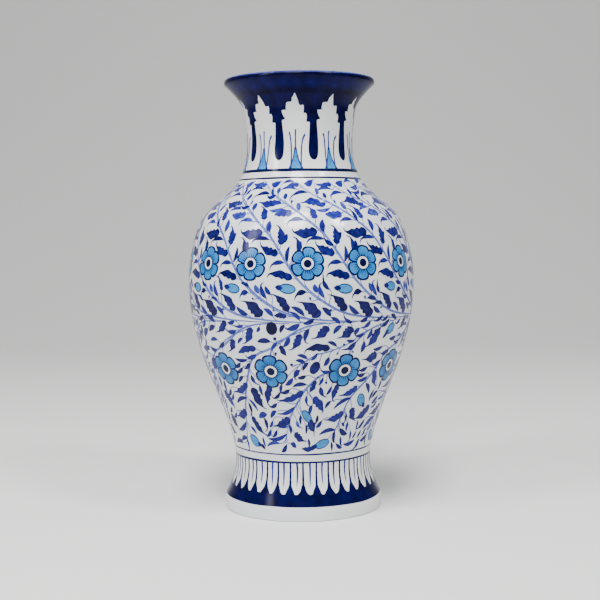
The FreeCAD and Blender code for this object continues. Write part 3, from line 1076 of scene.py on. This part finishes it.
# %% Lower leaves
LOWER_LEAVES = (
    ("slim", 2.5, 112, -6.5, 110.2, 2.6, "", 0.8),
    ("lobed", 0, 106, -14.5, 98.5, 4.5, "left", 0.75),
    ("slim", -5.5, 93.5, -15.5, 87.5, 2.8, "left", 0.7),
    ("lobed", -9.5, 83.5, -20.5, 77, 6, "left", 0.8),
    ("slim", -13, 70.5, -30, 66, 2.6, "", 0.65),
    ("slim", -20, 61.5, -32, 58.5, 2.2, "", 0.7),
    ("lobed", 4, 81, 8.5, 72, 7, "down", 0.95),
    ("lobed", 7, 101, 14.5, 90, 6, "left", 0.85),
    ("comma", 3, 103, 3.2, 95.5, 2.6, "right", 0.7),
    ("slim", 11.5, 110, 14, 102, 3.2, "right", 0.75),
    ("comma", -5, 82, -2.5, 76, 2.8, "right", 0.6),
    ("lobed", -6.5, 71.5, 0, 65, 5.5, "right", 0.9),
    ("comma", -11, 62, -6, 58.5, 3.5, "", 0.85),
    ("slim", 15.5, 134, 13, 127.5, 3, "", 0.75),
    ("drop", 9.5, 130, 5, 121.5, 6.5, "", 0.9),
    ("comma", -1.5, 124.5, -5, 118, 3.6, "right", 0.7),
    ("slim", 3.3, 133, -3, 136.5, 2.2, "", 0.65),
    ("drop", -6, 127.5, -6, 129.5, 2, "", 0.7),
    ("drop", 9.2, 117.3, 9.9, 118.9, 1.4, "", 0.6),
    ("slim", 15, 115, 15.5, 112.5, 1.6, "", 0.6),
    ("lobed", 15.5, 140, 2.5, 141, 4.8, "down", 1),
    ("slim", 19.5, 142, 14.5, 146.5, 2.2, "", 0.8),
    ("lobed", 14, 158.5, 8, 149.5, 5.5, "left", 0.95),
    ("slim", 21.5, 158.5, 17, 152, 3, "", 0.7),
    ("lobed", 28, 157, 22, 149, 6, "left", 1),
    ("slim", 32.5, 155.5, 29.5, 150.5, 3, "", 0.7),
    ("slim", 4, 156, 1.5, 147.5, 2.8, "right", 0.8),
    ("lobed", -1, 152.5, -5, 141.5, 4.8, "left", 0.95),
    ("drop", 23.7, 143, 24.3, 145.2, 1.6, "", 0.8),
    ("drop", 20.2, 135.7, 20.8, 137.4, 1.5, "", 0.4),
    ("drop", 30.1, 136, 29.9, 138, 1.5, "", 0.7),
    ("lobed", 23.5, 110.5, 20.5, 99, 4.5, "right", 0.7),
    ("slim", 35, 99, 22.5, 91.5, 2.8, "", 0.75),
    ("lobed", 31, 87, 18.5, 82, 5, "left", 0.8),
    ("slim", 26.5, 72.5, 13.5, 69, 2.6, "", 0.75),
    ("lobed", 10.5, 59, -1.5, 58, 3.4, "", 0.9),
    ("slim", 29, 61, 35, 57, 2.6, "", 0.75),
    ("comma", 30, 72, 35, 67, 3.5, "", 0.9),
    ("slim", 31, 78, 34, 75, 2.2, "", 0.7),
    ("lobed", -21, 111, -24.5, 95.5, 5, "right", 0.95),
    ("slim", -12.5, 112, -14.5, 105, 2.4, "", 0.7),
    ("lobed", -11.5, 143, -9, 135.5, 3.6, "", 0.95),
    ("drop", -15, 135.5, -15, 138.5, 1.5, "", 0.8),
    ("drop", -15, 147.9, -15, 150.1, 2.2, "", 0.9),
    ("slim", -17.5, 146, -25, 145.5, 3.2, "", 1.1),
    ("slim", -9.5, 160, -11.5, 153.5, 2.4, "", 1.1),
    ("slim", -23, 159, -25, 154, 2, "", 0.8),
    ("lobed", -28, 157, -32, 146, 5, "left", 0.85),
    ("lobed", -26.5, 140.5, -39, 137, 4.6, "", 0.85),
    ("slim", -33.5, 131.5, -42, 131.5, 2.2, "", 0.8),
    ("comma", -32.5, 119, -30.5, 111.5, 3, "right", 0.7),
    ("lobed", -34, 108, -29, 93, 7, "right", 0.9),
    ("slim", -27, 87, -34, 83.5, 3.8, "", 0.8),
    ("lobed", -37.5, 111.5, -49, 104, 4.5, "left", 0.85),
    ("slim", -41, 99, -52, 94.5, 2.8, "", 0.8),
    ("lobed", -45, 88, -56, 82.5, 5.4, "left", 0.85),
    ("slim", -49, 77.5, -62, 70, 3.6, "", 0.8),
    ("slim", -53, 64, -62, 60, 3, "", 0.8),
    ("slim", -38.5, 59, -34, 56.5, 2.6, "", 0.95),
    ("lobed", -41, 83, -33, 69.5, 5.4, "right", 0.85),
    ("slim", -45, 74, -40, 68, 2.4, "", 0.6),
    ("slim", -39.5, 98, -34, 88.5, 2.4, "", 0.7),
    ("lobed", -45, 162, -51, 153, 5, "left", 0.9),
    ("slim", -38.5, 161.5, -43.5, 160, 2.4, "", 0.95),
    ("lobed", -41, 148, -44, 138, 5, "left", 0.85),
    ("slim", -54, 146, -61, 145, 2.6, "", 0.9),
    ("lobed", 45.5, 154, 40, 142, 6.5, "left", 0.9),
    ("comma", 36, 145, 35, 136, 3.5, "", 0.9),
    ("slim", 52, 139.5, 44.5, 138.5, 2.4, "", 0.9),
    ("lobed", 48, 134, 40, 130, 6, "left", 0.9),
    ("slim", 53, 150, 51, 146, 2.4, "", 0.9),
    ("slim", 47, 155, 45, 150, 2.5, "", 0.8),
    ("lobed", 50, 120, 54, 108, 5.5, "right", 0.85),
    ("slim", 45, 110, 50, 101, 3, "", 0.8),
    ("lobed", 37, 90, 42, 80, 6, "right", 0.9),
    ("lobed", 56, 90, 45, 81, 6, "left", 0.9),
    ("lobed", 38, 108, 28, 102, 4.5, "left", 0.8),
    ("slim", 45, 116, 37, 113.5, 2.4, "", 0.8),
    ("slim", 30, 73, 38, 69, 3.4, "", 0.9),
    ("slim", 48, 62, 36, 60, 2.6, "", 0.8))
DARK_SPOT = (-16.3, 157)
SPARE_TURN = 294
SPARE_PART = (-28, 11)
spare = [leaf_facts for leaf_facts in LOWER_LEAVES
         if SPARE_PART[0] <= leaf_facts[1] < SPARE_PART[1]]
paint_leaves("lower", LOWER_LEAVES, lower_lines, LOWER_TURNS, LOWER_NARROW)
paint_leaves("lower_spare", spare, lower_lines, (SPARE_TURN,), LOWER_NARROW)

# %% [markdown]
# ## Buds
#
# A bud is a turquoise oval with a dark outline, and the dark cap of a leaf on its far end. The
# outline is a larger dark oval under the turquoise one, which is also how a painter corrects
# an edge.

# %% Buds
UPPER_BUDS = ((-6.8, 186.6, -14.2, 188.2, 6.5),)
LOWER_BUDS = ((0, 89.5, 6.5, 82, 6.5), (22, 63, 10.5, 60, 6.5), (-48, 65, -39.5, 60, 8),
              (59, 156, 53, 151, 7), (41, 100, 48, 92, 7.5))
bud_edges = Paint("bud_outlines", cobalt_line, 0.15)
bud_fills = Paint("bud_fills", turquoise, 0.19)
bud_caps = Paint("bud_caps", cobalt, 0.22)


def sheet_line(*points):
    """A line through points on the sheet, in mm."""
    return Line([(point.x / SHEET, point.y) for point in points])


def bud(start, end, width):
    heading = (end - start).normalized()
    outer = sheet_line(start - heading * 0.7, end + heading * 0.7)
    bud_edges.stroke(outer, rounded(width + 1.4), 0.7, 10, 4)
    bud_fills.stroke(sheet_line(start, end), rounded(width - 0.3), 0.4, 10, 4)
    cap = sheet_line(end - heading * 2.4, end + heading * 3.6)
    bud_caps.stroke(cap, profile(COMMA, 4.4), 0.8, 8)


buds_drawn = []
for buds, turns, narrow in ((UPPER_BUDS, upper_turns, UPPER_NARROW),
                            (LOWER_BUDS, LOWER_TURNS, LOWER_NARROW)):
    for turn in turns:
        for x0, z0, x1, z1, width in buds:
            buds_drawn.append((shaken(x0 * narrow + turn, z0), shaken(x1 * narrow + turn, z1),
                               width))
for start, end, width in buds_drawn:
    bud(start, end, width)
for turn in LOWER_TURNS:
    spot = shaken(DARK_SPOT[0] * LOWER_NARROW + turn, DARK_SPOT[1])
    line = Line([((spot.x + x) / SHEET, spot.y) for x in (-4.7, 0, 4.7)])
    bud_edges.stroke(line, rounded(10.4), 1.0, 12, 4)
bud_edges.done()
bud_fills.done()
bud_caps.done()

# %% [markdown]
# ## Filling the gaps
#
# A folk painter leaves no empty ground: wherever a gap is wider than a brush, a small leaf goes
# in. Here a slow walk over the sheet asks at each place how much room there is, and where
# there is enough, a small leaf is laid alongside the nearest stem, a little turned out from it.

# %% Gap leaves
GRID = 4.0
ENOUGH = 3.15
LOW_EDGE, HIGH_EDGE = 58.5, 270.5
for start, end, width in buds_drawn:
    for step in range(4):
        crowd.add(start.lerp(end, step / 3), width * 0.45)
for turn in LOWER_TURNS:
    crowd.add(Vector(((DARK_SPOT[0] * LOWER_NARROW + turn) * SHEET, DARK_SPOT[1])), 5.0)
gap_leaves = Paint("gap_leaves", cobalt, 0.12)
gap_twigs = Paint("gap_twigs", cobalt_wash, 0.09)
ready = around(upper_lines + lower_lines)
filled = 0
level = LOW_EDGE
while level < HIGH_EDGE:
    for column in range(int(360 * SHEET / GRID)):
        place = Vector((column * GRID - 180 * SHEET, level)) + Vector((draw.uniform(-1.5, 1.5), 0))
        room = crowd.room(place)
        if room < ENOUGH:
            continue
        stem, share, away = nearest(ready, place)
        along = stem.direction(share)
        side = Vector((-along.y, along.x))
        out = math.copysign(1, (place - stem.at(share)).dot(side))
        turned = (along + side * out * draw.uniform(0.3, 0.8)).normalized()
        half = min(room * 1.15, 5.2)
        kind = draw.choice(("slim", "comma", "slim", "lobed")) if room > 4.2 else "slim"
        width = min(room * 0.7, 3.5) * draw.uniform(0.85, 1.1)
        leaf(gap_leaves, gap_twigs, ready, kind, place - turned * half, place + turned * half,
             width, draw.choice(("", "", "left", "up")), draw.uniform(0.6, 1.0))
        filled += 1
    level += GRID
gap_leaves.done()
gap_twigs.done()
print(filled, "small leaves fill the gaps")

# %% [markdown]
# ## Flowers
#
# Each flower has six broad turquoise petals in a dark outline, short dark strokes at the base
# of each petal, and an eye: a dark disc, a white ring and a dark centre. The layers are laid in
# the order a painter works, and each stands a few hundredths of a millimetre above the last.
# The petals are placed in true millimetres, so that the flower stays round where the wall
# leans and narrows.

# %% Flowers
PETAL = ((4.5, 2.2), (6, 3.0), (8, 4.1), (10.5, 5.0), (12.2, 4.7), (13.4, 3.3), (14.05, 1.7),
         (14.25, 0.5))
FLOWER_RADIUS = 14.25
PETAL_INNER = 5.0
UPPER_ANGLES = (84, 26, -33, -92, -152, 144)
LOWER_ANGLES = (90, 31, -30, -90, -150, 149)
petal_edges = Paint("petal_outlines", cobalt_line, 0.15)
petals = Paint("petals", turquoise, 0.19)
petal_marks = Paint("petal_marks", cobalt_line, 0.22)
eye_rims = Paint("eye_rims", cobalt_line, 0.23)
eye_whites = Paint("eye_whites", white_glaze, 0.27)
eye_centres = Paint("eye_centres", cobalt_line, 0.31)


def flower(across, level, size, angles):
    """A six-petalled flower, drawn in true mm round its centre."""
    degrees = math.degrees(1 / outside.radius(level))
    upright = 1 / math.hypot(1.0, outside.slope(level))

    def at(angle, out, side):
        turn = math.radians(angle)
        x = size * (out * math.cos(turn) - side * math.sin(turn))
        y = size * (out * math.sin(turn) + side * math.cos(turn))
        return across + x * degrees, level + y * upright

    def petal(angle, extra):
        length = FLOWER_RADIUS + extra - PETAL_INNER

        def place(along, side):
            out = PETAL_INNER + length * math.sin(along * math.pi / 2)
            half = smooth(PETAL, PETAL_INNER + (out - PETAL_INNER) * (length - extra) / length)
            return at(angle, out, side * (half + extra * min(1, half / 2)))

        return place

    def disc(paint, radius, tone):
        def place(along, side):
            x = -math.cos(along * math.pi)
            return at(0, radius * x, side * radius * math.sqrt(max(1 - x * x, 0.0004)))

        paint.patch(place, lambda along: tone, 12, 4)

    for angle in angles:
        angle += draw.uniform(-2.5, 2.5)
        stretch = draw.uniform(0.96, 1.04)
        petal_edges.patch(petal(angle, 1.4 * stretch), lambda along: 0.85, 8, 4)
        load = 0.75 + draw.uniform(-0.12, 0.12)
        petals.patch(petal(angle, 0.0), lambda along: load - 0.35 * along, 8, 4)
        for side in (-1.5, 0, 1.5):
            start = at(angle, 6.0, side)
            end = at(angle + side * 2, 8.6 + draw.uniform(-0.5, 1.2), side * 1.25)
            line = Line([start, end])
            petal_marks.stroke(line, profile(HAIR, 0.9), 0.8, 3, 1)
    disc(eye_rims, 6.4, 0.85)
    disc(eye_whites, 5.5, 0.5)
    disc(eye_centres, 3.6, 1.0)


for turn in upper_turns:
    flower(turn + draw.uniform(-0.3, 0.3), UPPER_LEVEL, UPPER_SIZE * draw.uniform(0.96, 1.05),
           UPPER_ANGLES)
for across in lower_flowers:
    flower(across, LOWER_LEVEL, LOWER_SIZE, LOWER_ANGLES)
for paint in (petal_edges, petals, petal_marks, eye_rims, eye_whites, eye_centres):
    paint.done()
for paint in stems.values():
    paint.done()
